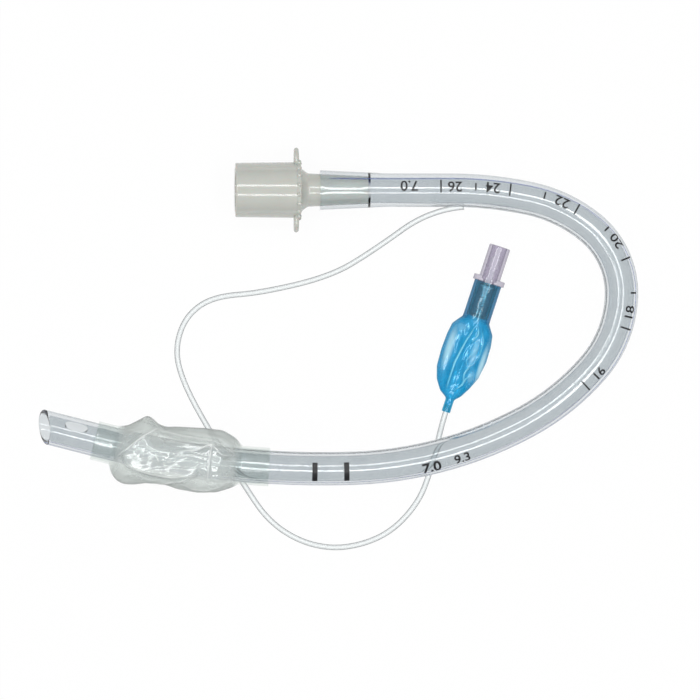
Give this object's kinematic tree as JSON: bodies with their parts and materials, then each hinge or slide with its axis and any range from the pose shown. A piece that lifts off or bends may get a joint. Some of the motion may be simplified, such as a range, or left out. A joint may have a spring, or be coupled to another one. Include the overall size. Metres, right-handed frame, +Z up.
{
  "type": "endotracheal tube",
  "caption": "Curved clear airway tube with a bevelled tip, soft cuff, push-on circuit connector, thin inflation line and a pilot balloon with a sprung one-way valve.",
  "frame": {"origin": "centre of the footprint of the tube, cuff and connector, on the surface it lies on", "axes": "+X from the patient tip and the connector towards the tube's far bend, +Y from the cuff towards the connector, +Z up from the surface"},
  "size_m": [0.1666, 0.1119, 0.0193],
  "materials": {
    "clear_tube": "clear, extruded soft PVC, glossy",
    "cuff_film": "milky thin film, creased, glossy",
    "white_connector": "translucent white moulded polypropylene",
    "clear_line": "clear soft PVC, glossy",
    "blue_film": "tinted clear film, creased, glossy",
    "lilac_clear": "tinted clear moulded plastic",
    "white_plunger": "white moulded acetal",
    "dark_seal": "dark moulded rubber",
    "grey_retainer": "dark moulded plastic",
    "spring_steel": "drawn stainless wire"
  },
  "bodies": {
    "tube": {"tube_shaft": "clear_tube", "cuff": "cuff_film", "circuit_connector": "white_connector", "inflation_line": "clear_line", "pilot_balloon": "blue_film", "valve_body": "lilac_clear", "valve_retainer": "grey_retainer", "valve_spring": "spring_steel"},
    "plunger": {"valve_plunger": "white_plunger", "valve_seal": "dark_seal"}
  },
  "joints": [
    {"name": "plunger_slide", "type": "slide", "parent": "tube", "child": "plunger", "axis": [-0.3111, -0.9491, -0.049], "range_m": [0, 0.002], "stiffness_N_per_m": 200, "springref_m": -0.002, "deforming": ["valve_spring"]}
  ]
}
